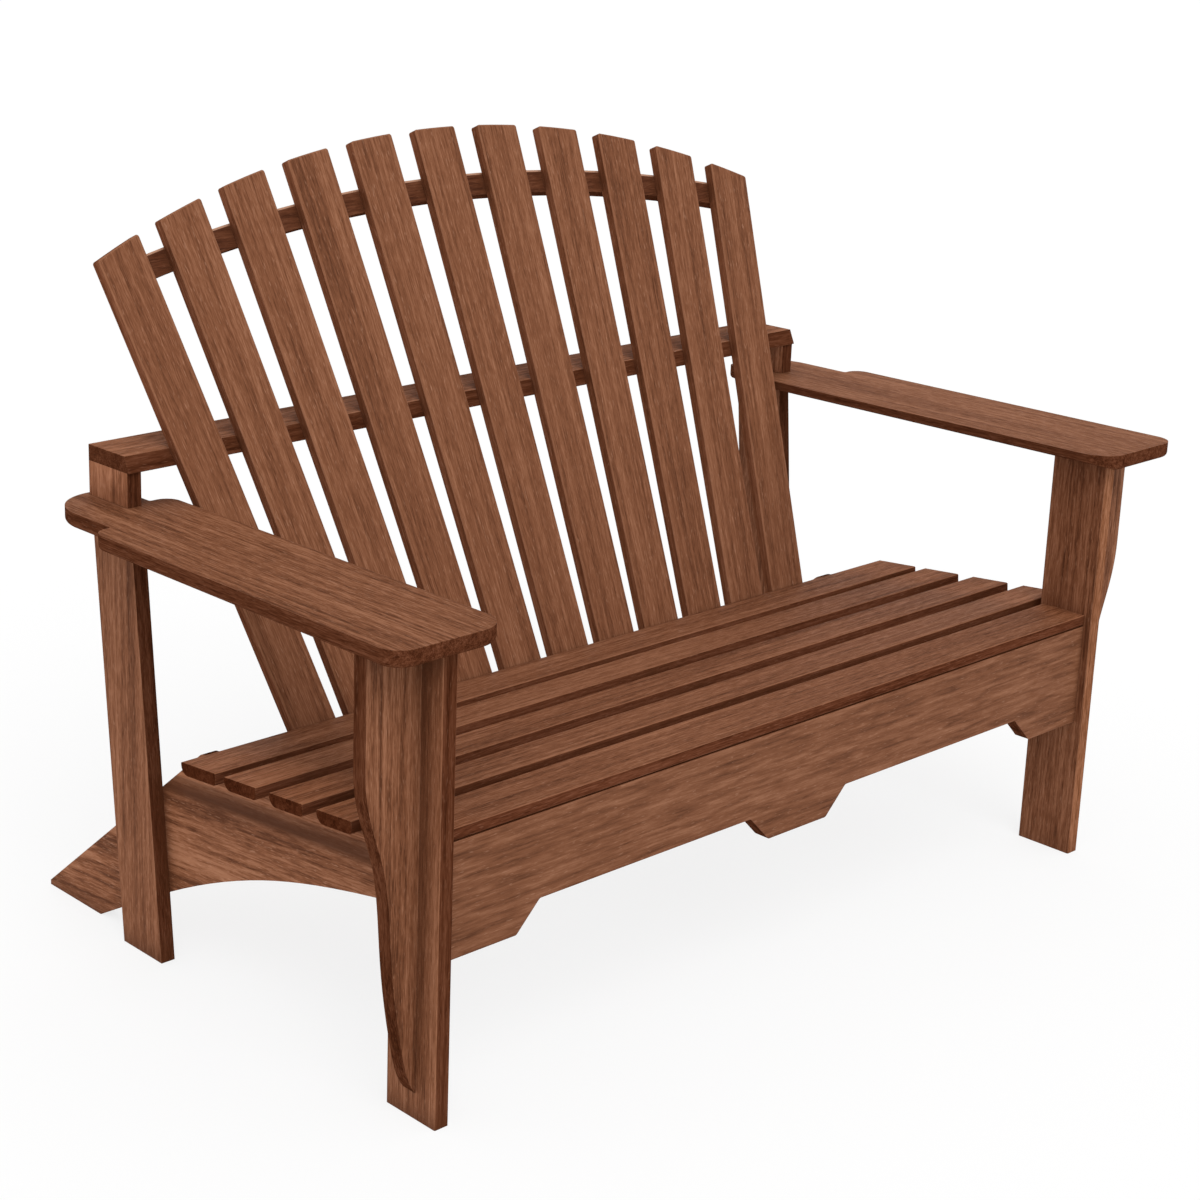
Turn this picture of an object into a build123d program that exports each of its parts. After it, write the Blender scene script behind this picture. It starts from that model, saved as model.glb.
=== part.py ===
from build123d import *
import math
import os

# Adirondack loveseat of flat boards: a slatted seat that falls to the back, a fan of tapered back slats,
# two wide arms, and side rails that run from the front apron down to the floor behind the seat.
# Millimetres and degrees. X runs to the right, Y to the back and Z up from the floor.
# Depths count from the front edges of the front legs, until the whole part is centred at the end.

# Boards
board = 22.0                    # thickness of the frame boards
post_width = 89.0               # width of the boards of the legs, rear posts and risers
frame_width = 1306.0            # over the outer faces of the front legs
frame_round = 2.0               # eased edges of the frame boards
overrun = 5.0                   # of a cut past the board it shapes

# Seat
seat_height = 379.0             # top of the front seat slat
seat_slope = 5.5                # fall of the other seat slats to the back
front_setback = 11.5            # the apron and front slat stand back from the legs' front edges
seat_slat_thickness = 17.0
front_slat_width = 72.5         # of the level slat between the legs
middle_slat_count = 3           # of the sloped slats before the rear one
middle_slat_width = 65.5
rear_slat_width = 72.9
sloped_slat_overhang = 69.0     # of the sloped slats past the side rails
front_gap = 18.5                # between the front slat and the first sloped one
middle_gap = 27.0               # between the middle slats
rear_gap = 18.0                 # between them and the rear slat
back_clearance = 0.5            # from the rear seat slat's lower edge to the back slats
seat_slat_round = 2.0           # eased upper edges
seat_slat_front_round = 5.0     # lower front edge
seat_slat_back_round = 13.0     # lower back edge

# Back
back_lean = 23.8                # of the fan of slats, from upright
fan_count = 11
fan_margin = 152.5              # at the seat, from the outer slats' centre lines to the front legs
fan_radius = 2780.0             # from the seat down to the point where the centre lines meet
back_slat_thickness = 16.0
back_slat_foot_width = 72.0     # at the seat
back_slat_top_width = 77.0      # at the crown
back_slat_corner = 4.0
back_slat_ease = 2.0            # chamfer round the front face
upper_rail_height = 718.0       # top of the upper back rail above the seat, along the lean
upper_rail_radius = 2570.0
upper_rail_depth = 34.0
crown_past_rail = 70.0          # of the middle slat past the upper rail
crown_radius = 1575.0           # of the arc that the slats' tops follow
lower_rail_depth = 72.0

# Arms, the risers on them and the middle back rail
arm_underside = 613.0
arm_front_reach = 33.0          # of the arm past the front leg
arm_inner_overhang = 51.0       # from the leg's inner face to the arm's inner edge
arm_outer_overhang = 100.0      # from the leg's outer face to the arm's outer edge
tongue_inner_overhang = 18.0    # the same for the narrow tongue at the arm's rear
tongue_outer_overhang = 70.0
tongue_inner_length = 85.0
tongue_outer_length = 156.0
tongue_end_margin = 8.0         # from the riser to the tongue's end
arm_inner_corner = 42.0
arm_outer_corner = 30.0
shoulder_corner = 22.0
shoulder_notch = 4.0
tongue_outer_corner = 70.0
tongue_inner_corner = 12.0
arm_bottom_round = 7.0
arm_bevel_width = 30.0          # of the bevel under the arm's inner edge
arm_bevel_height = 10.0
riser_height = 47.0
riser_outset = 3.5              # of the risers and the middle rail's ends past the legs
mid_rail_width = 83.4           # of its upper face

# Arm brackets
bracket_width = 83.0
bracket_straight = 145.0        # height of the straight edge under the arm
bracket_setback = 36.0          # from the leg's front edge to the bracket's face
bracket_foot = 35.0             # height of the bracket's tip
bracket_curve_shares = ((0.650, 0.295), (0.488, 0.568), (0.286, 0.841))
bracket_tip_slope = 50.0

# Rear posts and side rails
rear_post_lean = 5.1
tail_past_post = 310.4          # on the floor, from the post's front edge to the rail's tip
tail_angle = 39.9               # of the tail's top edge
tail_nose = 7.0                 # height of the blunt tip
tail_flat = 130.0               # length of the flat on the floor
tail_crest_round = 18.0
rail_front_depth = 95.0         # height of the rail where it meets the apron
rail_belly_shares = ((0.382, 0.532), (0.646, 0.262))
rail_front_slope = 10.0
rail_heel_slope = 29.5

# Apron and centre support
apron_height = 151.0
apron_rise = 38.0               # of the lower edge between the tabs
centre_tab_width = 116.0        # along the tab's lower edge
end_tab_width = 115.0
tab_slope = 45.0
tab_round = 5.0
support_depth = 89.0

# Places worked out from the sizes above
leg_outer = frame_width / 2
leg_inner = leg_outer - board
rail_inner = leg_inner - board
support_height = seat_height - seat_slat_thickness
apron_back = front_setback + board
front_slat_back = front_setback + front_slat_width
slope_start = front_slat_back + front_gap / 2
first_sloped_slat = front_slat_back + front_gap
arm_top = arm_underside + board
riser_top = arm_top + riser_height
mid_rail_top = riser_top + board
crown_height = upper_rail_height + crown_past_rail
slope_sin, slope_cos = math.sin(math.radians(seat_slope)), math.cos(math.radians(seat_slope))
lean_sin, lean_cos = math.sin(math.radians(back_lean)), math.cos(math.radians(back_lean))
fall = slope_sin / slope_cos
lean_run = lean_sin / lean_cos
meeting_angle = math.radians(back_lean - seat_slope)
middle_pitch = middle_slat_width + middle_gap
rear_slat = first_sloped_slat + (middle_slat_count * middle_pitch - middle_gap + rear_gap) * slope_cos
slats_end = rear_slat + rear_slat_width * slope_cos + seat_slat_thickness * slope_sin
square_part = seat_slat_thickness - seat_slat_back_round
round_part = (seat_slat_back_round + back_clearance) / math.cos(meeting_angle) - seat_slat_back_round
seat_reach = slats_end + (square_part * math.tan(meeting_angle) + round_part) * slope_cos
rear_seat_height = support_height - (seat_reach - slope_start) * fall + seat_slat_thickness / slope_cos
fan_pitch = (leg_inner - fan_margin) / (fan_count // 2)
mid_rail_front = seat_reach + back_slat_thickness / lean_cos + (mid_rail_top - rear_seat_height) * lean_run
mid_rail_back = mid_rail_front + mid_rail_width
rear_post_shift = arm_underside * math.tan(math.radians(rear_post_lean))
rear_post_reach = post_width / math.cos(math.radians(rear_post_lean))
rear_post_depth = mid_rail_back - rear_post_reach - rear_post_shift
tail_reach = rear_post_depth + tail_past_post

# The plane of the back slats' front faces, with its origin where it meets the seat's top
back_plane = Plane(origin=(0, seat_reach, rear_seat_height), x_dir=(1, 0, 0), z_dir=(0, -lean_cos, lean_sin))
back_front = Axis(origin=(0, 0, 0), direction=(0, -lean_cos, lean_sin))


def underside(depth):
    """Height of the seat slats' undersides at a depth."""
    return support_height - max(0, depth - slope_start) * fall


def on_back(height, forward=0):
    """Depth and height of a point on the back, by its height along the lean and distance before the slats."""
    depth = seat_reach + height * lean_sin - forward * lean_cos
    return depth, rear_seat_height + height * lean_cos + forward * lean_sin


def seat_crossing(forward, below):
    """Height along the lean at which a plane before the back slats is a distance below the seat's top."""
    return -(below + forward * math.sin(meeting_angle)) / math.cos(meeting_angle)


def polygon(points):
    return make_face(Polyline(*points, close=True))


def rounded_polygon(points, radii):
    return make_face(FilletPolyline(*points, radius=radii, close=True))


def side_board(outline, from_x, to_x):
    """Board with its outline seen from the side."""
    return extrude(Plane.YZ.offset(from_x) * outline, amount=to_x - from_x)


def front_board(outline, front, back):
    """Board with its outline seen from the front."""
    return extrude(Plane.XZ.offset(-back) * outline, amount=back - front)


def flat_board(outline, bottom, top):
    """Board with its outline seen from above."""
    return extrude(Plane.XY.offset(bottom) * outline, amount=top - bottom)


def back_board(outline, front, back):
    """Board with its outline on the leaning back, by its distances behind the slats' front faces."""
    return extrude(back_plane.offset(-back) * outline, amount=back - front)


def rim(piece, axis):
    """The edges of the face that lies furthest along an axis."""
    return piece.faces().sort_by(axis)[-1].edges()


def on_the_left(piece):
    return mirror(piece, about=Plane.YZ)


# Seat


def front_seat_slat():
    """The level slat between the front legs, over the apron."""
    front, back = front_setback, front_slat_back
    corners = ((front, support_height), (back, support_height), (back, seat_height), (front, seat_height))
    radii = (seat_slat_front_round, seat_slat_back_round, seat_slat_round, seat_slat_round)
    return side_board(rounded_polygon(corners, radii), -leg_inner, leg_inner)


def sloped_seat_slat(start, width):
    """One of the slats on the side rails, well rounded under its back edge."""
    stop = start + width * slope_cos
    shift, rise = seat_slat_thickness * slope_sin, seat_slat_thickness * slope_cos
    corners = (
        (start, underside(start)), (stop, underside(stop)),
        (stop + shift, underside(stop) + rise), (start + shift, underside(start) + rise),
    )
    radii = (seat_slat_front_round, seat_slat_back_round, seat_slat_round, seat_slat_round)
    half_length = leg_inner + sloped_slat_overhang
    return side_board(rounded_polygon(corners, radii), -half_length, half_length)


def front_apron():
    """Board under the front slat, with its lower edge raised between a middle tab and two end tabs."""
    low = support_height - apron_height
    high = low + apron_rise
    run = apron_rise / math.tan(math.radians(tab_slope))
    middle = centre_tab_width / 2
    end = leg_inner - end_tab_width
    half = [(middle, low), (middle + run, high), (end - run, high), (end, low), (leg_inner, low)]
    right = half + [(leg_inner, support_height)]
    left = [(-x, z) for x, z in reversed(right)]
    outline = polygon(left + right)
    tab_corners = [v for v in outline.vertices() if abs(v.X) < leg_inner - frame_round]
    return front_board(fillet(tab_corners, tab_round), front_setback, apron_back)


def side_rail():
    """Long rail from the apron to the floor behind, with a curved belly and a straight tail."""
    length = tail_reach - apron_back
    tail_rise = math.tan(math.radians(tail_angle))
    reach = tail_nose + tail_reach * tail_rise
    crest = (reach - support_height - slope_start * fall) / (tail_rise - fall)
    heel = (tail_reach - tail_flat, 0)
    chin = (apron_back, support_height - rail_front_depth)
    belly = [(apron_back + along * length, up * support_height) for along, up in rail_belly_shares]
    front_slope, heel_slope = math.radians(rail_front_slope), math.radians(rail_heel_slope)
    edges = Spline(
        chin, *belly, heel,
        tangents=[(math.cos(front_slope), -math.sin(front_slope)), (math.cos(heel_slope), -math.sin(heel_slope))],
    )
    edges += Polyline(
        heel, (tail_reach, 0), (tail_reach, tail_nose), (crest, underside(crest)),
        (slope_start, support_height), (apron_back, support_height), chin,
    )
    outline = make_face(edges)
    crest_corner = outline.vertices().sort_by_distance((crest, underside(crest)))[0]
    return side_board(fillet(crest_corner, tail_crest_round), rail_inner, leg_inner)


def centre_support():
    """Board under the middle of the seat, from the apron to the lower back rail."""
    top = on_back(seat_crossing(board, seat_slat_thickness), board)
    bottom = on_back(slat_foot, board)
    points = (
        (apron_back, support_height - support_depth), bottom, top,
        (slope_start, support_height), (apron_back, support_height),
    )
    return side_board(polygon(points), -board / 2, board / 2)


# Back


slat_foot = seat_crossing(0, seat_slat_thickness) - lower_rail_depth    # height of the slats' lower ends


def back_slat(place):
    """One slat of the fan, straight, tapered to its foot and cut to the crown's arc."""
    tilt = math.atan2(place * fan_pitch, fan_radius)
    beyond = crown_height + back_slat_top_width
    taper = (back_slat_top_width - back_slat_foot_width) / crown_height

    def edge(height, side):
        half = (back_slat_foot_width + taper * height) / 2 / math.cos(tilt)
        return (fan_radius + height) * math.tan(tilt) + side * half, height

    blank = polygon((edge(slat_foot, -1), edge(slat_foot, 1), edge(beyond, 1), edge(beyond, -1)))
    outline = blank & Pos(0, crown_height - crown_radius) * Circle(crown_radius)
    outline = fillet(outline.vertices().sort_by(Axis.Y)[-2:], back_slat_corner)
    return chamfer(rim(back_board(outline, 0, back_slat_thickness), back_front), back_slat_ease)


def lower_back_rail():
    """Rail under the rear of the seat, before the slats' feet, bevelled to the seat above it."""
    points = (
        on_back(slat_foot), on_back(seat_crossing(0, seat_slat_thickness)),
        on_back(seat_crossing(board, seat_slat_thickness), board), on_back(slat_foot, board),
    )
    return side_board(polygon(points), -rail_inner, rail_inner)


def mid_back_rail():
    """Flat rail on the risers, with its front edge bevelled to the backs of the slats."""
    points = (
        (mid_rail_front - board * lean_run, riser_top), (mid_rail_back, riser_top),
        (mid_rail_back, mid_rail_top), (mid_rail_front, mid_rail_top),
    )
    half_length = leg_outer + riser_outset
    return side_board(polygon(points), -half_length, half_length)


def upper_back_rail():
    """Curved rail behind the upper ends of the slats, a band between two arcs."""
    centre = Pos(0, upper_rail_height - upper_rail_radius)
    ring = Circle(upper_rail_radius) - Circle(upper_rail_radius - upper_rail_depth)
    outer_slat = (leg_inner - fan_margin) * (fan_radius + upper_rail_height) / fan_radius
    window = Pos(0, upper_rail_height) * Rectangle(2 * outer_slat, upper_rail_radius)
    return back_board(centre * ring & window, back_slat_thickness, back_slat_thickness + board)


def riser():
    """Short upright board on the arm's tongue."""
    front = mid_rail_back - post_width
    outline = polygon(((front, arm_top), (mid_rail_back, arm_top), (mid_rail_back, riser_top), (front, riser_top)))
    return side_board(outline, leg_inner + riser_outset, leg_outer + riser_outset)


# Legs, posts and arms


def front_leg():
    """Upright board with its wide faces to the sides."""
    outline = Pos((leg_inner + leg_outer) / 2, post_width / 2) * RectangleRounded(board, post_width, frame_round)
    return flat_board(outline, 0, arm_underside)


def rear_post():
    """Leaning board under the rear of the arm, cut level at both ends."""
    back = rear_post_depth + rear_post_reach
    points = (
        (rear_post_depth, 0), (back, 0),
        (back + rear_post_shift, arm_underside), (rear_post_depth + rear_post_shift, arm_underside),
    )
    return side_board(polygon(points), leg_inner, leg_outer)


def arm():
    """Wide armrest, narrowed to a tongue that carries the riser, and bevelled under its inner edge."""
    inner, outer = leg_inner - arm_inner_overhang, leg_outer + arm_outer_overhang
    tongue_inner, tongue_outer = leg_inner - tongue_inner_overhang, leg_outer + tongue_outer_overhang
    end = mid_rail_back + tongue_end_margin
    corners = (
        ((inner, -arm_front_reach), arm_inner_corner),
        ((outer, -arm_front_reach), arm_outer_corner),
        ((outer, end - tongue_outer_length), shoulder_corner),
        ((tongue_outer, end - tongue_outer_length), shoulder_notch),
        ((tongue_outer, end), tongue_outer_corner),
        ((tongue_inner, end), tongue_inner_corner),
        ((tongue_inner, end - tongue_inner_length), shoulder_notch),
        ((inner, end - tongue_inner_length), shoulder_corner),
    )
    outline = rounded_polygon([point for point, _ in corners], [radius for _, radius in corners])
    run = overrun * arm_bevel_width / arm_bevel_height
    bevel = polygon((
        (inner - run, arm_underside + arm_bevel_height + overrun),
        (inner + arm_bevel_width + run, arm_underside - overrun),
        (inner - run, arm_underside - overrun),
    ))
    blank = fillet(rim(flat_board(outline, arm_underside, arm_top), -Axis.Z), arm_bottom_round)
    return blank - front_board(bevel, -arm_front_reach - overrun, end + overrun)


def arm_bracket():
    """Bracket outside the front leg, straight under the arm and S-shaped below."""
    knee = arm_underside - bracket_straight
    drop = knee - bracket_foot
    curve = [(leg_outer + out * bracket_width, knee - down * drop) for out, down in bracket_curve_shares]
    tip_slope = math.radians(bracket_tip_slope)
    tip = (leg_outer, bracket_foot)
    edges = Spline(
        (leg_outer + bracket_width, knee), *curve, tip,
        tangents=[(0, -1), (-math.cos(tip_slope), -math.sin(tip_slope))],
    )
    edges += Polyline(
        tip, (leg_outer, arm_underside), (leg_outer + bracket_width, arm_underside),
        (leg_outer + bracket_width, knee),
    )
    return front_board(make_face(edges), bracket_setback, bracket_setback + board)


# The whole part, centred over its footprint and written one board to a file


def nodes():
    pieces = {"seat_slat_1": front_seat_slat()}
    for place in range(middle_slat_count):
        start = first_sloped_slat + place * middle_pitch * slope_cos
        pieces[f"seat_slat_{place + 2}"] = sloped_seat_slat(start, middle_slat_width)
    pieces[f"seat_slat_{middle_slat_count + 2}"] = sloped_seat_slat(rear_slat, rear_slat_width)
    for number in range(fan_count):
        pieces[f"back_slat_{number + 1:02d}"] = back_slat(number - fan_count // 2)
    pieces["front_apron"] = front_apron()
    pieces["centre_seat_support"] = centre_support()
    pieces["lower_back_rail"] = lower_back_rail()
    pieces["mid_back_rail"] = mid_back_rail()
    pieces["upper_back_rail"] = upper_back_rail()
    pairs = {
        "front_leg": front_leg(),
        "rear_post": rear_post(),
        "side_rail": side_rail(),
        "arm": arm(),
        "arm_bracket": arm_bracket(),
        "back_rail_riser": riser(),
    }
    for name, piece in pairs.items():
        pieces[f"{name}_right"] = piece
        pieces[f"{name}_left"] = on_the_left(piece)
    return pieces


os.makedirs("parts", exist_ok=True)
to_centre = Pos(0, (arm_front_reach - tail_reach) / 2, 0)
for name, piece in nodes().items():
    export_step(to_centre * piece, f"parts/{name}.step")
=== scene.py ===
import bpy
import math
import random
from mathutils import Matrix, Quaternion, Vector


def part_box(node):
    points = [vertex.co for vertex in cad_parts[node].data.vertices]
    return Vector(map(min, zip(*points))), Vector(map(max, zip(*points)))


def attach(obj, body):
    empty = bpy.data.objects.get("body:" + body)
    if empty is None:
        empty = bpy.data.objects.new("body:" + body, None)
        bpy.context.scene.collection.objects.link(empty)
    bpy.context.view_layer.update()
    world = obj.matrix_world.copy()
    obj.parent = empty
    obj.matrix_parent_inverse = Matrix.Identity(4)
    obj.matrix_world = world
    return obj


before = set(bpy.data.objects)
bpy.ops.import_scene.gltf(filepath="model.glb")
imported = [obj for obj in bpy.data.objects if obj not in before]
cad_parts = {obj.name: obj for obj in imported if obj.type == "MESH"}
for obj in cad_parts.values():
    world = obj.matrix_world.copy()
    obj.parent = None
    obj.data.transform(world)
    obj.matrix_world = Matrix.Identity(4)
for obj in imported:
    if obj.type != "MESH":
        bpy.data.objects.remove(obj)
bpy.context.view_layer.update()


# Sizes and directions of the seat, in metres


BACK_LEAN = math.radians(23.8)
SEAT_SLOPE = math.radians(5.5)
UP_THE_BACK = (0, math.sin(BACK_LEAN), math.cos(BACK_LEAN))
OUT_OF_THE_BACK = (0, -math.cos(BACK_LEAN), math.sin(BACK_LEAN))
OUT_OF_THE_SEAT = (0, math.sin(SEAT_SLOPE), math.cos(SEAT_SLOPE))
SIDEWAYS = (1, 0, 0)
BACKWARD = (0, 1, 0)
UPWARD = (0, 0, 1)
WHITE = (1, 1, 1, 1)

BOARD = 0.022
SIDE_RAIL_TOP = 0.32906             # from the frame's origin, out of the seat
BACK_FOOT = (0, 0.02698, 0.34507)   # where the middle back slat's front meets the seat
BACK_SLAT_THICKNESS = 0.016
FAN_RADIUS = 2.780                  # from the seat down to where the slats' centre lines meet
FAN_PITCH = 0.0957                  # between the centre lines at the seat
UPPER_RAIL_HEIGHT = 0.718           # up the back, from its foot to the top of the rail
UPPER_RAIL_RADIUS = 2.570
UPPER_RAIL_DEPTH = 0.034
UPPER_RAIL_CENTRE = UPPER_RAIL_HEIGHT - UPPER_RAIL_RADIUS

SEAT_SLATS = sorted(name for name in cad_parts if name.startswith("seat_slat"))
BACK_SLATS = sorted(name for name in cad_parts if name.startswith("back_slat"))


def both(name):
    return [f"{name}_left", f"{name}_right"]


def placed(name, data):
    thing = bpy.data.objects.new(name, data)
    bpy.context.collection.objects.link(thing)
    return thing


# Nodes


class Nodes:
    """Short ways to add and join the nodes of a material or world."""

    def __init__(self, owner):
        owner.use_nodes = True
        self.tree = owner.node_tree
        self.tree.nodes.clear()

    def add(self, kind, **settings):
        node = self.tree.nodes.new(kind)
        for name, value in settings.items():
            setattr(node, name, value)
        return node

    def put(self, socket, value):
        if isinstance(value, bpy.types.NodeSocket):
            self.tree.links.new(value, socket)
        else:
            socket.default_value = value

    def output(self, shader, kind="ShaderNodeOutputMaterial"):
        self.put(self.add(kind).inputs[0], shader.outputs[0])

    def math(self, operation, a, b=0.0, c=0.0):
        node = self.add("ShaderNodeMath", operation=operation)
        for socket, value in zip(node.inputs, (a, b, c)):
            self.put(socket, value)
        return node.outputs[0]

    def vector(self, operation, a, b=(0, 0, 0)):
        node = self.add("ShaderNodeVectorMath", operation=operation)
        self.put(node.inputs[0], a)
        self.put(node.inputs[1], b)
        return node.outputs["Value" if operation == "DOT_PRODUCT" else "Vector"]

    def split(self, vector):
        node = self.add("ShaderNodeSeparateXYZ")
        self.put(node.inputs[0], vector)
        return tuple(node.outputs)

    def range(self, value, low, high, to_low=0.0, to_high=1.0):
        """A smooth step from to_low at low to to_high at high."""
        node = self.add("ShaderNodeMapRange", interpolation_type="SMOOTHSTEP")
        for socket, setting in zip(node.inputs, (value, low, high, to_low, to_high)):
            self.put(socket, setting)
        return node.outputs[0]

    def noise(self, point, scale, detail=3.0, roughness=0.55, distortion=0.0):
        node = self.add("ShaderNodeTexNoise")
        self.put(node.inputs["Vector"], self.vector("MULTIPLY", point, scale))
        node.inputs["Scale"].default_value = 1.0
        node.inputs["Detail"].default_value = detail
        node.inputs["Roughness"].default_value = roughness
        node.inputs["Distortion"].default_value = distortion
        return node.outputs["Fac"]

    def mix(self, factor, a, b, blend="MIX"):
        node = self.add("ShaderNodeMix", data_type="RGBA", blend_type=blend)
        self.put(node.inputs[0], factor)
        self.put(node.inputs[6], a)
        self.put(node.inputs[7], b)
        return node.outputs[2]

    def tint(self, factor, colour, tone):
        """The colour, multiplied by the tone as far as the factor says."""
        return self.mix(factor, colour, self.mix(1.0, colour, tone, "MULTIPLY"))


# Wood


# The stain's tones; WOOD_DARK also colours the painted shade in corners and under the slats, WOOD_LIGHT the
# wear and the painted rim highlights
WOOD_DARK = (0.090, 0.030, 0.0125, 1)
WOOD_MIDDLE = (0.186, 0.069, 0.0315, 1)
WOOD_LIGHT = (0.292, 0.126, 0.066, 1)
WOOD_PALE = (0.40, 0.205, 0.125, 1)
# CREST_HIGHLIGHT: a painted highlight along the upper rail's top edge
CREST_HIGHLIGHT = (0.47, 0.26, 0.17, 1)

# Tones that multiply the wood's colour: painted shade on narrow faces and undersides, darker end grain, and
# painted light near the slats' tips
EDGE_SHADE = (0.47, 0.39, 0.37, 1)
END_SHADE = (0.34, 0.24, 0.20, 1)
TIP_PAINTED_LIGHT = (1.5, 1.45, 1.35, 1)

# Patterns of the grain, by how often they change in a metre along it and in the two ways across it
BANDS = {"scale": (1.1, 34, 34), "detail": 2.0, "distortion": 0.15}
STREAKS = {"scale": (3.0, 190, 190), "detail": 3.0, "roughness": 0.6, "distortion": 0.05}
FIBRES = {"scale": (45, 620, 620), "detail": 2.0, "roughness": 0.7}
RIBBONS = {"scale": (14, 130, 130), "detail": 1.0, "roughness": 0.5, "distortion": 0.5}
FLECKS = {"scale": (75, 560, 560), "detail": 1.0, "roughness": 0.5}
OWN_SHIFT = (7.3, 3.1, 5.7)                 # the most that a board's own pattern moves by

# Tone of the stain, from 0 to 1, and where its colours lie
MIDDLE_TONE = 0.5
DARK_TONE = 0.18
LIGHT_TONE = 0.84
FIBRE_WEIGHT = 1.1
BOARD_WEIGHT = 0.05
FLECK_LEVELS = (0.62, 0.76)
FLECK_STRENGTH = 0.40

# Cosines from the broad faces' way, the ends' way or straight up, between which a kind of face fades in
BROAD_FACE = (0.90, 0.97)
NARROW_FACE = (0.62, 0.42)
END_FACE = (0.80, 0.95)
# UNDERSIDE fades in the painted shade on faces that look down
UNDERSIDE = (-0.3, -0.6)
# The RIM_ cosines place the painted highlight on eased edges
RIM_OFF_THE_BROAD = (0.98, 0.86)
RIM_OFF_THE_NARROW = (0.46, 0.62)
RIM_IN_THE_LIGHT = (-0.3, 0.2)
TIP_FACE = (0.6, 0.9)

# Wear, painted shade in corners, and surface
WEAR_RADIUS = 0.0014
WEAR_BEND = (0.985, 0.88)                   # by the cosine between the softened and the true normal
WEAR_PATCHES = (0.40, 0.60, 0.1, 0.5)       # by the level of the streaks
CORNER_SHADE_REACH = 0.06
CORNER_SHADE_LEVELS = (0.82, 0.38)
BUMP_DEPTH = 0.0005
BUMP_STRENGTH = 0.5
FIBRE_BUMP = 0.7
STREAK_BUMP = 0.5
WOOD_ROUGHNESS = (0.3, 0.7, 0.78, 0.60)     # by the level of the fibres

# Lights and shades of single boards
CREST_LINE = (-0.0034, -0.0022)             # from the upper rail's top
TIP_REACH = (0.56, 0.66)                    # from the middle of the seat
# Where the painted shadow of the seat slats lies on the side rail
SHADOW_FOOT = (-0.080, -0.062)                # from the side rail's top
SHADOW_HEAD = (-0.040, -0.045)
SHADOW_BREAKS = (0.35, 0.65, 1.0, 0.55)       # by the level of the bands

# Eased edges
BOARD_EASE = 0.0012
UPPER_RAIL_EASE = 0.005
EASE_SEGMENTS = 2
EASE_ANGLE = math.radians(50)               # the least turn that is eased


def height_up_the_back(nodes, point):
    return nodes.vector("DOT_PRODUCT", nodes.vector("SUBTRACT", point, BACK_FOOT), UP_THE_BACK)


def along_and_across(nodes, point, grain):
    """The point as a length along the grain and two lengths across it."""
    x, y, z = nodes.split(point)
    if grain == "FAN":
        rise = nodes.math("ADD", height_up_the_back(nodes, point), FAN_RADIUS)
        turn = nodes.math("MULTIPLY", nodes.math("ARCTAN2", x, rise), FAN_RADIUS)
        parts = (rise, turn, nodes.vector("DOT_PRODUCT", point, OUT_OF_THE_BACK))
    elif grain == "SLOPE":
        fall = math.tan(SEAT_SLOPE)
        parts = (nodes.math("MULTIPLY_ADD", z, -fall, y), x, nodes.math("MULTIPLY_ADD", y, fall, z))
    else:
        parts = {"X": (x, y, z), "Y": (y, x, z), "Z": (z, x, y)}[grain]
    joined = nodes.add("ShaderNodeCombineXYZ")
    for socket, part in zip(joined.inputs, parts):
        nodes.put(socket, part)
    return joined.outputs[0]


class Wood(Nodes):
    """The nodes of a stained wood, with what its layers share."""

    def __init__(self, material, grain, broad):
        super().__init__(material)
        self.point = self.add("ShaderNodeTexCoord").outputs["Object"]
        self.board = self.add("ShaderNodeObjectInfo").outputs["Random"]
        shift = self.vector("MULTIPLY", self.board, OWN_SHIFT)
        lengths = self.vector("ADD", along_and_across(self, self.point, grain), shift)
        self.bands = self.noise(lengths, **BANDS)
        self.streaks = self.noise(lengths, **STREAKS)
        self.fibres = self.noise(lengths, **FIBRES)
        self.ribbons = self.noise(lengths, **RIBBONS)
        self.flecks = self.noise(lengths, **FLECKS)
        self.normal = self.add("ShaderNodeNewGeometry").outputs["Normal"]
        self.facing = self.math("ABSOLUTE", self.vector("DOT_PRODUCT", self.normal, broad))
        self.upward = self.vector("DOT_PRODUCT", self.normal, UPWARD)


def stained(nodes, figure, streaking, depth):
    """The stain's colour, from its dark, middle and light tones."""
    weights = (
        (nodes.bands, streaking),
        (nodes.streaks, depth),
        (nodes.fibres, FIBRE_WEIGHT * depth),
        (nodes.ribbons, figure),
        (nodes.board, BOARD_WEIGHT),
    )
    tone = MIDDLE_TONE
    for pattern, weight in weights:
        tone = nodes.math("ADD", tone, nodes.math("MULTIPLY_ADD", pattern, weight, -weight / 2))
    ramp = nodes.add("ShaderNodeValToRGB")
    nodes.put(ramp.inputs[0], tone)
    stops = ramp.color_ramp.elements
    stops[0].position, stops[0].color = DARK_TONE, WOOD_DARK
    stops[1].position, stops[1].color = LIGHT_TONE, WOOD_LIGHT
    stops.new(MIDDLE_TONE).color = WOOD_MIDDLE
    return ramp.outputs[0]


def wear_and_rim_highlight(nodes, soft_normal, rim_highlight):
    """How far the colour turns light: wear in patches on sharp edges, and a painted highlight on eased edges
    that look up or sideways.
    """
    bend = nodes.vector("DOT_PRODUCT", soft_normal, nodes.normal)
    patches = nodes.math("MULTIPLY", nodes.range(bend, *WEAR_BEND), nodes.range(nodes.streaks, *WEAR_PATCHES))
    off_the_broad = nodes.range(nodes.facing, *RIM_OFF_THE_BROAD)
    off_the_narrow = nodes.range(nodes.facing, *RIM_OFF_THE_NARROW)
    lit_rim = nodes.math("MULTIPLY", off_the_broad, off_the_narrow)
    lit_rim = nodes.math("MULTIPLY", lit_rim, nodes.range(nodes.upward, *RIM_IN_THE_LIGHT))
    return nodes.math("MAXIMUM", patches, nodes.math("MULTIPLY", lit_rim, rim_highlight))


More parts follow.
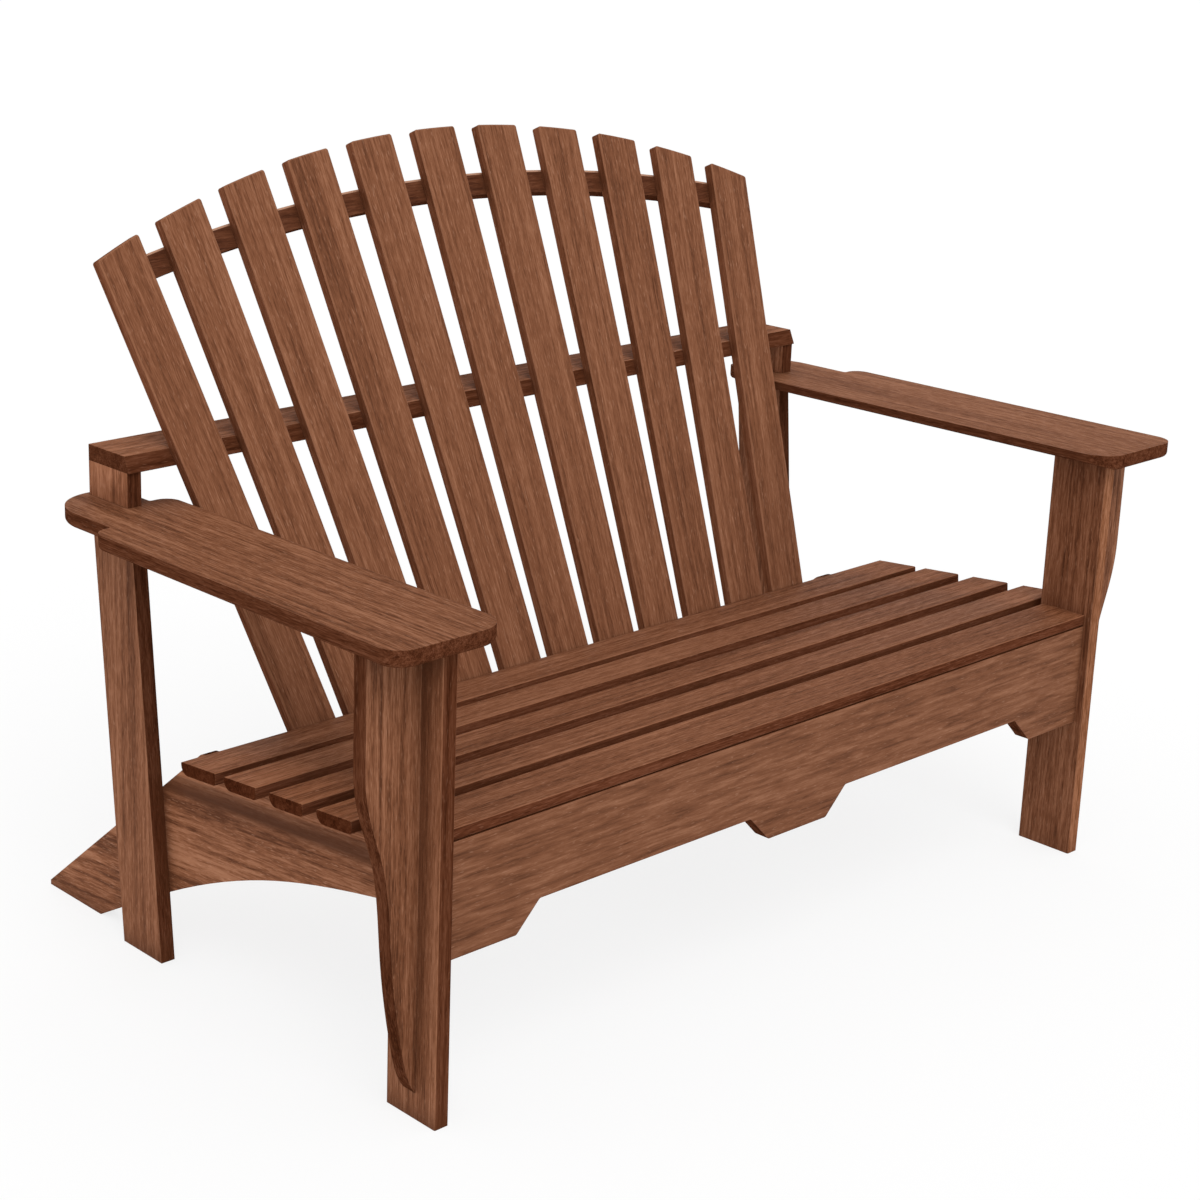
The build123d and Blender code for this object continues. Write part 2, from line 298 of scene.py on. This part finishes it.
def lit_crest(nodes, colour):
    """A painted highlight along the upper rail's top edge."""
    rise = nodes.math("ADD", height_up_the_back(nodes, nodes.point), -UPPER_RAIL_CENTRE)
    across = nodes.vector("DOT_PRODUCT", nodes.point, SIDEWAYS)
    squares = nodes.math("ADD", nodes.math("MULTIPLY", rise, rise), nodes.math("MULTIPLY", across, across))
    crest = [UPPER_RAIL_RADIUS + step for step in CREST_LINE]
    return nodes.mix(nodes.range(nodes.math("SQRT", squares), *crest), colour, CREST_HIGHLIGHT)


def painted_light_at_tips(nodes, colour):
    """Painted light on the broad faces near the slats' two ends, against the arms' shadow."""
    out = nodes.math("ABSOLUTE", nodes.vector("DOT_PRODUCT", nodes.point, SIDEWAYS))
    lit_tips = nodes.math("MULTIPLY", nodes.range(nodes.facing, *TIP_FACE), nodes.range(out, *TIP_REACH))
    return nodes.tint(lit_tips, colour, TIP_PAINTED_LIGHT)


def painted_slat_shadow(nodes, colour):
    """A broken painted shadow of the overhanging seat slats, a little below the side rail's top."""
    rise = nodes.vector("DOT_PRODUCT", nodes.point, OUT_OF_THE_SEAT)
    foot = nodes.range(rise, *(SIDE_RAIL_TOP + step for step in SHADOW_FOOT))
    head = nodes.range(rise, *(SIDE_RAIL_TOP + step for step in SHADOW_HEAD))
    slat_shadow = nodes.math("MULTIPLY", nodes.math("MULTIPLY", foot, head), nodes.range(nodes.bands, *SHADOW_BREAKS))
    return nodes.mix(slat_shadow, colour, WOOD_DARK)


def wood(name, grain, broad, figure=0.5, streaking=0.7, depth=1.0, face=WHITE, edges=1.0,
         edge_tone=EDGE_SHADE, ends=None, rim_highlight=0.5, accent=None, corner_shade=0.78, sheen=0.08):
    """Stained wood with its grain along X, Y, Z, the SLOPE of the seat or the FAN of slats.

    broad: the way that the boards' broad faces look
    figure, streaking, depth: how strong the ribbons, the bands and the fine streaks are
    face, edge_tone: tones of the broad and the narrow faces, the latter as far as edges says; they paint in
    the light and shade that each kind of board gets
    ends: the way that the dark end grain looks
    rim_highlight: how strong the painted highlight on the eased edges is
    accent: a function that adds a light or shade of these boards alone
    corner_shade: how strong the painted shade in corners is
    sheen: how much the broad faces shine
    """
    material = bpy.data.materials.new(name)
    nodes = Wood(material, grain, broad)
    stain = stained(nodes, figure, streaking, depth)
    colour = nodes.mix(nodes.range(nodes.flecks, *FLECK_LEVELS, 0.0, FLECK_STRENGTH), stain, WOOD_PALE)

    # Painted light and shade: narrow faces and undersides take the edge tone, mostly a shade, and shine less
    edge = nodes.math("MULTIPLY", nodes.range(nodes.facing, *NARROW_FACE), edges)
    edge = nodes.math("MAXIMUM", edge, nodes.range(nodes.upward, *UNDERSIDE))
    # Painted light and shade on the broad faces, by the face tone
    colour = nodes.tint(nodes.range(nodes.facing, *BROAD_FACE), colour, face)
    colour = nodes.tint(edge, colour, edge_tone)
    if ends:
        along = nodes.math("ABSOLUTE", nodes.vector("DOT_PRODUCT", nodes.normal, ends))
        end_grain = nodes.mix(1.0, stain, END_SHADE, "MULTIPLY")
        colour = nodes.mix(nodes.range(along, *END_FACE), colour, end_grain)

    soft = nodes.add("ShaderNodeBevel", samples=4)
    soft.inputs["Radius"].default_value = WEAR_RADIUS
    # Wear in patches and a painted highlight on eased edges, in the light stain
    colour = nodes.mix(wear_and_rim_highlight(nodes, soft.outputs[0], rim_highlight), colour, WOOD_LIGHT)
    if accent:
        colour = accent(nodes, colour)
    # Painted shade: ambient occlusion darkens corners towards the dark stain
    corner_ao = nodes.add("ShaderNodeAmbientOcclusion", samples=6)
    corner_ao.inputs["Distance"].default_value = CORNER_SHADE_REACH
    colour = nodes.mix(nodes.range(corner_ao.outputs["AO"], *CORNER_SHADE_LEVELS, 0.0, corner_shade), colour, WOOD_DARK)

    bump = nodes.add("ShaderNodeBump")
    bump.inputs["Distance"].default_value = BUMP_DEPTH
    bump.inputs["Strength"].default_value = BUMP_STRENGTH
    relief = nodes.math("MULTIPLY", nodes.streaks, STREAK_BUMP)
    nodes.put(bump.inputs["Height"], nodes.math("MULTIPLY_ADD", nodes.fibres, FIBRE_BUMP, relief))
    nodes.put(bump.inputs["Normal"], soft.outputs[0])

    shader = nodes.add("ShaderNodeBsdfPrincipled")
    nodes.put(shader.inputs["Base Color"], colour)
    nodes.put(shader.inputs["Roughness"], nodes.range(nodes.fibres, *WOOD_ROUGHNESS))
    nodes.put(shader.inputs["Normal"], bump.outputs[0])
    nodes.put(shader.inputs["Specular IOR Level"], nodes.math("MULTIPLY_ADD", edge, -sheen, sheen))
    nodes.output(shader)
    return material


def dress(names, material):
    for name in names:
        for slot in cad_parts[name].material_slots:
            slot.material = material


def ease(names, width):
    """Takes the sharpness off the boards' edges."""
    for name in names:
        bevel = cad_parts[name].modifiers.new("eased", "BEVEL")
        bevel.width = width
        bevel.segments = EASE_SEGMENTS
        bevel.limit_method = "ANGLE"
        bevel.angle_limit = EASE_ANGLE
        bevel.harden_normals = True


def dress_the_boards():
    """A wood for each kind of board, and one for the right front leg, whose edge catches the light."""
    # Painted light near the seat slats' tips, against the arms' shadow; painted shade on their narrow faces
    dress(SEAT_SLATS, wood(
        "seat_wood", "X", OUT_OF_THE_SEAT, figure=0.3, edge_tone=(0.56, 0.47, 0.47, 1), ends=SIDEWAYS,
        accent=painted_light_at_tips,
    ))
    dress(BACK_SLATS, wood(
        "back_wood", "FAN", OUT_OF_THE_BACK, figure=0.15, streaking=0.5, depth=0.85,
        edge_tone=(0.88, 0.82, 0.84, 1), corner_shade=0.45,
    ))
    dress(["front_apron"], wood(
        "apron_wood", "X", BACKWARD, figure=0.85, streaking=0.25, depth=0.5, face=(0.94, 0.96, 0.98, 1),
    ))
    # Painted light: the mid rail's broad top is made paler against the shade under the slats
    dress(["mid_back_rail"], wood(
        "mid_rail_wood", "X", UPWARD, face=(1.25, 1.28, 1.30, 1), corner_shade=0.2, sheen=0.03,
    ))
    # Painted shade on the back rails' broad front faces, and a painted highlight along the upper rail's top
    # edge
    dress(["upper_back_rail", "lower_back_rail"], wood(
        "upper_rail_wood", "X", OUT_OF_THE_BACK, face=(0.50, 0.40, 0.34, 1), edges=0.0, accent=lit_crest,
    ))
    dress(["front_leg_left", *both("rear_post")], wood(
        "post_wood", "Z", SIDEWAYS, figure=0.4, face=(1.12, 1.12, 1.12, 1), corner_shade=1.0,
    ))
    # Painted light: the risers are the posts' wood with paler broad faces, against the shade under the mid
    # rail
    dress(both("back_rail_riser"), wood(
        "riser_wood", "Z", SIDEWAYS, figure=0.4, face=(1.5, 1.5, 1.5, 1), corner_shade=0.2,
    ))
    # Painted shade on the right front leg's broad faces and a painted highlight on its narrow faces
    dress(["front_leg_right"], wood(
        "right_leg_wood", "Z", SIDEWAYS, figure=0.4, depth=1.2, face=(0.93, 0.89, 0.87, 1),
        edge_tone=(1.18, 1.22, 1.25, 1), corner_shade=0.4,
    ))
    dress(both("arm_bracket"), wood(
        "bracket_wood", "Z", BACKWARD, figure=0.6, depth=1.1, corner_shade=0.25,
    ))
    dress(both("arm"), wood(
        "arm_wood", "Y", UPWARD, figure=0.3, depth=1.2, rim_highlight=0.0, sheen=0.05,
    ))
    # Painted shadow of the seat slats on the side rails
    dress(["centre_seat_support", *both("side_rail")], wood(
        "side_rail_wood", "SLOPE", SIDEWAYS, figure=0.7, streaking=1.4, face=(1.26, 1.26, 1.26, 1),
        accent=painted_slat_shadow,
    ))


dress_the_boards()
ease(["mid_back_rail", *both("rear_post"), *both("back_rail_riser")], BOARD_EASE)
ease([*both("arm_bracket"), *both("side_rail")], BOARD_EASE)
ease(["upper_back_rail"], UPPER_RAIL_EASE)


# Screws


HEAD_RADIUS = 0.0042
HEAD_HEIGHT = 0.0009
HEAD_SIDES = 20
HEAD_PROFILE_SHARES = ((1.0, 0.0), (1.0, 0.45), (0.86, 0.8), (0.5, 1.0))    # of its radius and height
SLOT_FLANK = (0.00055, 0.00045)             # from where the cross slot begins to where it is full
SLOT_END = (0.0023, 0.0021)                 # the same along the slot
# painted shade of the cross slot, which the head's mesh does not sink
SLOT_SHADE = (0.02, 0.02, 0.02, 1)
STEEL_DARK = (0.30, 0.28, 0.26, 1)
STEEL_LIGHT = (0.46, 0.44, 0.42, 1)
STEEL_GRIT = (900, 900, 900)
STEEL_ROUGHNESS = (0.3, 0.7, 0.36, 0.52)    # by the level of the grit

UPPER_RAIL_MIDDLE = UPPER_RAIL_RADIUS - UPPER_RAIL_DEPTH / 2
CROSSING_ROUNDS = 4
FOOT_SCREW_HEIGHTS = (-0.038, -0.066)       # up the back, from its foot
LEG_SCREWS = ((-0.3695, 0.335), (-0.3435, 0.295))   # Y and Z on the side rails' inner faces
POST_SCREWS = ((0.1805, 0.185), (0.2205, 0.125))
SCREW_SEED = 7


def steel():
    """Dull steel, with the painted shade of a cross slot in the middle of the head."""
    material = bpy.data.materials.new("screw_steel")
    nodes = Nodes(material)
    point = nodes.add("ShaderNodeTexCoord").outputs["Object"]
    x, y = (nodes.math("ABSOLUTE", part) for part in nodes.split(point)[:2])
    flank = nodes.range(nodes.math("MINIMUM", x, y), *SLOT_FLANK)
    end = nodes.range(nodes.math("MAXIMUM", x, y), *SLOT_END)
    grit = nodes.noise(point, STEEL_GRIT)
    shader = nodes.add("ShaderNodeBsdfPrincipled")
    # painted shade where the slot lies
    slot = nodes.math("MULTIPLY", flank, end)
    metal = nodes.mix(grit, STEEL_DARK, STEEL_LIGHT)
    nodes.put(shader.inputs["Base Color"], nodes.mix(slot, metal, SLOT_SHADE))
    nodes.put(shader.inputs["Roughness"], nodes.range(grit, *STEEL_ROUGHNESS))
    shader.inputs["Metallic"].default_value = 1.0
    nodes.output(shader)
    return material


def screw_head():
    """The head's low dome, standing on its own origin and looking along Z."""
    turns = [2 * math.pi * k / HEAD_SIDES for k in range(HEAD_SIDES)]
    points = [
        (HEAD_RADIUS * out * math.cos(turn), HEAD_RADIUS * out * math.sin(turn), HEAD_HEIGHT * up)
        for out, up in HEAD_PROFILE_SHARES for turn in turns
    ]
    faces = []
    for ring in range(1, len(HEAD_PROFILE_SHARES)):
        low = (ring - 1) * HEAD_SIDES
        high = ring * HEAD_SIDES
        for k in range(HEAD_SIDES):
            after = (k + 1) % HEAD_SIDES
            faces.append((low + k, low + after, high + after, high + k))
    faces.append(tuple(range(high, high + HEAD_SIDES)))
    faces.append(tuple(reversed(range(HEAD_SIDES))))
    mesh = bpy.data.meshes.new("screw_head")
    mesh.from_pydata(points, [], faces)
    mesh.materials.append(steel())
    return mesh


def on_a_slat(lean_over, rise, behind):
    """A point on a slat's centre line, by its height up the back and its depth behind the slats' fronts."""
    across = Vector(((FAN_RADIUS + rise) * lean_over, 0, 0))
    return Vector(BACK_FOOT) + across + Vector(UP_THE_BACK) * rise - Vector(OUT_OF_THE_BACK) * behind


def rise_at_the_upper_rail(lean_over):
    """Where a slat's centre line crosses the middle of the upper rail, found in a few rounds."""
    rise = UPPER_RAIL_HEIGHT
    for _ in range(CROSSING_ROUNDS):
        across = (FAN_RADIUS + rise) * lean_over
        rise = UPPER_RAIL_CENTRE + math.sqrt(UPPER_RAIL_MIDDLE ** 2 - across ** 2)
    return rise


def screw_places():
    """Where each head sits and looks: behind the upper rail and slats' feet, then inside the side rails."""
    places = []
    rearward = -Vector(OUT_OF_THE_BACK)
    for k in range(len(BACK_SLATS)):
        lean_over = (k - len(BACK_SLATS) // 2) * FAN_PITCH / FAN_RADIUS
        rise = rise_at_the_upper_rail(lean_over)
        places.append((on_a_slat(lean_over, rise, BACK_SLAT_THICKNESS + BOARD), rearward))
        for height in FOOT_SCREW_HEIGHTS:
            places.append((on_a_slat(lean_over, height, BACK_SLAT_THICKNESS), rearward))
    rail_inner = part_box("side_rail_right")[0].x
    for side in (-1, 1):
        for y, z in LEG_SCREWS + POST_SCREWS:
            places.append((Vector((side * rail_inner, y, z)), Vector((-side, 0, 0))))
    return places


def drive_screws():
    mesh = screw_head()
    turns = random.Random(SCREW_SEED)
    for number, (place, outward) in enumerate(screw_places(), 1):
        screw = placed(f"screw_{number:02d}", mesh)
        turn = Quaternion(UPWARD, turns.uniform(0, math.pi / 2))
        screw.rotation_euler = (outward.to_track_quat("Z", "Y") @ turn).to_euler()
        screw.location = place
        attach(screw, "root")


drive_screws()


# Floor and light


FLOOR_SIZE = 60
FLOOR_PAINT = (0.9, 0.9, 0.9, 1)
FLOOR_GLOW = 0.8    # share of the floor's own light in what the camera sees
ROOM_LIGHT = 0.85
ROOM_SEEN = 1.0     # where the camera sees the room itself


def seen_itself(nodes):
    """1 where the camera sees a thing itself, or its mirror image, and 0 for the light that it sheds."""
    path = nodes.add("ShaderNodeLightPath")
    seen = nodes.math("MAXIMUM", path.outputs["Is Camera Ray"], path.outputs["Is Glossy Ray"])
    return nodes.math("MAXIMUM", seen, path.outputs["Is Transmission Ray"])


def plain_floor():
    """A white floor that the camera sees mostly by its own light, and that keeps a soft shadow."""
    bpy.ops.mesh.primitive_plane_add(size=FLOOR_SIZE, location=(0, 0, 0))
    floor = bpy.context.object
    floor.name = "floor"
    material = bpy.data.materials.new("floor_paint")
    nodes = Nodes(material)
    paint = nodes.add("ShaderNodeBsdfDiffuse")
    paint.inputs["Color"].default_value = FLOOR_PAINT
    glow = nodes.add("ShaderNodeEmission")
    mixed = nodes.add("ShaderNodeMixShader")
    nodes.put(mixed.inputs[0], nodes.math("MULTIPLY", seen_itself(nodes), FLOOR_GLOW))
    nodes.put(mixed.inputs[1], paint.outputs[0])
    nodes.put(mixed.inputs[2], glow.outputs[0])
    nodes.output(mixed)
    floor.data.materials.append(material)


def white_room():
    """Even white light from all round, brighter where the camera sees the room itself."""
    world = bpy.data.worlds.new("room")
    bpy.context.scene.world = world
    nodes = Nodes(world)
    background = nodes.add("ShaderNodeBackground")
    background.inputs["Color"].default_value = WHITE
    strength = nodes.math("MULTIPLY_ADD", seen_itself(nodes), ROOM_SEEN - ROOM_LIGHT, ROOM_LIGHT)
    nodes.put(background.inputs["Strength"], strength)
    nodes.output(background, "ShaderNodeOutputWorld")


def sun(name, strength, spread, azimuth, elevation):
    """A soft sun. Azimuth 0 shines along +Y and 90 along -X."""
    light = bpy.data.lights.new(name, "SUN")
    light.energy = strength
    light.angle = math.radians(spread)
    turn, climb = math.radians(azimuth), math.radians(elevation)
    towards = Vector((-math.sin(turn) * math.cos(climb), math.cos(turn) * math.cos(climb), -math.sin(climb)))
    placed(name, light).rotation_euler = towards.to_track_quat("-Z", "Y").to_euler()


plain_floor()
white_room()
sun("key", strength=1.3, spread=40, azimuth=-25, elevation=50)


# Camera


CAMERA_PLACE = (-2.37297, -2.32018, 1.51112)
CAMERA_YAW = math.radians(39.631)
CAMERA_PITCH = math.radians(-16.803)
CAMERA_ROLL = math.radians(0.417)
CAMERA_SENSOR = 36
CAMERA_LENS = 72.54
CAMERA_SHIFT = (0.2127, -0.0505)


def photo_camera():
    """The camera of the photograph, whose frame lies off its optical axis."""
    yaw_sin, yaw_cos = math.sin(CAMERA_YAW), math.cos(CAMERA_YAW)
    pitch_sin, pitch_cos = math.sin(CAMERA_PITCH), math.cos(CAMERA_PITCH)
    forward = Vector((yaw_sin * pitch_cos, yaw_cos * pitch_cos, pitch_sin))
    level = Vector((yaw_cos, -yaw_sin, 0))
    above = level.cross(forward)
    right = level * math.cos(CAMERA_ROLL) + above * math.sin(CAMERA_ROLL)
    up = above * math.cos(CAMERA_ROLL) - level * math.sin(CAMERA_ROLL)
    data = bpy.data.cameras.new("camera")
    data.sensor_width = CAMERA_SENSOR
    data.lens = CAMERA_LENS
    data.shift_x, data.shift_y = CAMERA_SHIFT
    camera = placed("camera", data)
    turned = Matrix((right, up, -forward)).transposed().to_4x4()
    camera.matrix_world = Matrix.Translation(CAMERA_PLACE) @ turned
    bpy.context.scene.camera = camera


photo_camera()
bpy.context.scene.view_settings.view_transform = "Standard"
